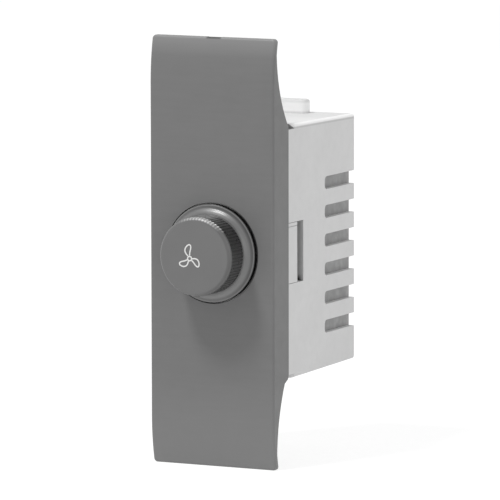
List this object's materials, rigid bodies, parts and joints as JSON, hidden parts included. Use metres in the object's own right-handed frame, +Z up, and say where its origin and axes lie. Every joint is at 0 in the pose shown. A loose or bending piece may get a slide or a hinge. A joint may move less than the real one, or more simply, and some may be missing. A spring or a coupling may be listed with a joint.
{
  "type": "dimmer switch",
  "caption": "Rotary dimmer for a one-module wall frame: tall dark front plate with a fluted knob, light housing with side slots and latch windows, screw terminals.",
  "frame": {"origin": "where the knob's axis meets the flat of the front plate, flush with the wall frame's window", "axes": "+X to the right seen from the front, +Y back into the wall, +Z up"},
  "size_m": [0.0226, 0.0373, 0.0706],
  "materials": {
    "dark_cover": "satin moulded, dark grey",
    "dark_knob": "satin moulded, dark grey",
    "light_frame": "matt moulded, light grey",
    "light_housing": "matt moulded, light grey",
    "light_inner": "matt moulded, grey",
    "zinc": "zinc plated",
    "plated_can": "tin plated sheet",
    "wafer": "phenolic board with a carbon ring",
    "tinned_pins": "tinned",
    "shaft_steel": "drawn steel",
    "clip_steel": "spring steel",
    "rotor_plastic": "natural nylon",
    "contact_brass": "stamped brass",
    "board": "pressed board, plain",
    "ferrite": "coated ferrite",
    "copper_wire": "enamelled copper",
    "sink_aluminium": "folded sheet",
    "triac_case": "moulded resin",
    "screw_steel": "zinc plated",
    "film_case": "moulded case",
    "timing_case": "moulded case",
    "fuse_case": "moulded case",
    "resistor_body": "lacquered",
    "diac_body": "lacquered",
    "cage_steel": "plated"
  },
  "bodies": {
    "housing": {"front_plate": "dark_cover", "front_frame": "light_frame", "housing_shell": "light_housing", "rear_cover": "light_inner", "pot_bushing": "zinc", "pot_washer": "zinc", "pot_nut": "zinc", "pot_case": "plated_can", "resistive_track": "wafer", "pot_pins": "tinned_pins", "switch_contacts": "contact_brass", "circuit_board": "board", "choke_core": "ferrite", "choke_winding": "copper_wire", "heat_sink": "sink_aluminium", "triac": "triac_case", "heat_sink_screw": "screw_steel", "heat_sink_nut": "screw_steel", "film_capacitor": "film_case", "timing_capacitor": "timing_case", "fuse": "fuse_case", "resistor_upper": "resistor_body", "resistor_lower": "resistor_body", "diac": "diac_body", "contact_bar_left": "contact_brass", "contact_bar_middle": "contact_brass", "contact_bar_right": "contact_brass"},
    "knob_spindle": {"knob": "dark_knob", "knob_shaft": "shaft_steel", "shaft_clip": "clip_steel", "wiper": "rotor_plastic", "switch_cam": "rotor_plastic"},
    "screw_left": {"terminal_screw_left": "screw_steel"},
    "cage_left": {"clamp_cage_left": "cage_steel"},
    "screw_middle": {"terminal_screw_middle": "screw_steel"},
    "cage_middle": {"clamp_cage_middle": "cage_steel"},
    "screw_right": {"terminal_screw_right": "screw_steel"},
    "cage_right": {"clamp_cage_right": "cage_steel"}
  },
  "joints": [
    {"name": "knob_turn", "type": "hinge", "parent": "housing", "child": "knob_spindle", "pos_m": [0, 0, 0], "axis": [0, 1, 0], "range_deg": [0, 300]},
    {"name": "cage_lift_left", "type": "slide", "parent": "housing", "child": "cage_left", "axis": [0, 1, 0], "range_m": [0, 0.0028]},
    {"name": "screw_turn_left", "type": "hinge", "parent": "housing", "child": "screw_left", "pos_m": [-0.00587, 0.0243, -0.0147], "axis": [0, -1, 0], "range_deg": [0, 2100]},
    {"name": "cage_lift_middle", "type": "slide", "parent": "housing", "child": "cage_middle", "axis": [0, 1, 0], "range_m": [0, 0.0028]},
    {"name": "screw_turn_middle", "type": "hinge", "parent": "housing", "child": "screw_middle", "pos_m": [0, 0.0243, -0.0147], "axis": [0, -1, 0], "range_deg": [0, 2100]},
    {"name": "cage_lift_right", "type": "slide", "parent": "housing", "child": "cage_right", "axis": [0, 1, 0], "range_m": [0, 0.0028]},
    {"name": "screw_turn_right", "type": "hinge", "parent": "housing", "child": "screw_right", "pos_m": [0.00587, 0.0243, -0.0147], "axis": [0, -1, 0], "range_deg": [0, 2100]}
  ],
  "couplings": [
    {"joint": "screw_turn_left", "follows": "cage_lift_left", "rad_per_m": 12566},
    {"joint": "screw_turn_middle", "follows": "cage_lift_middle", "rad_per_m": 12566},
    {"joint": "screw_turn_right", "follows": "cage_lift_right", "rad_per_m": 12566}
  ]
}
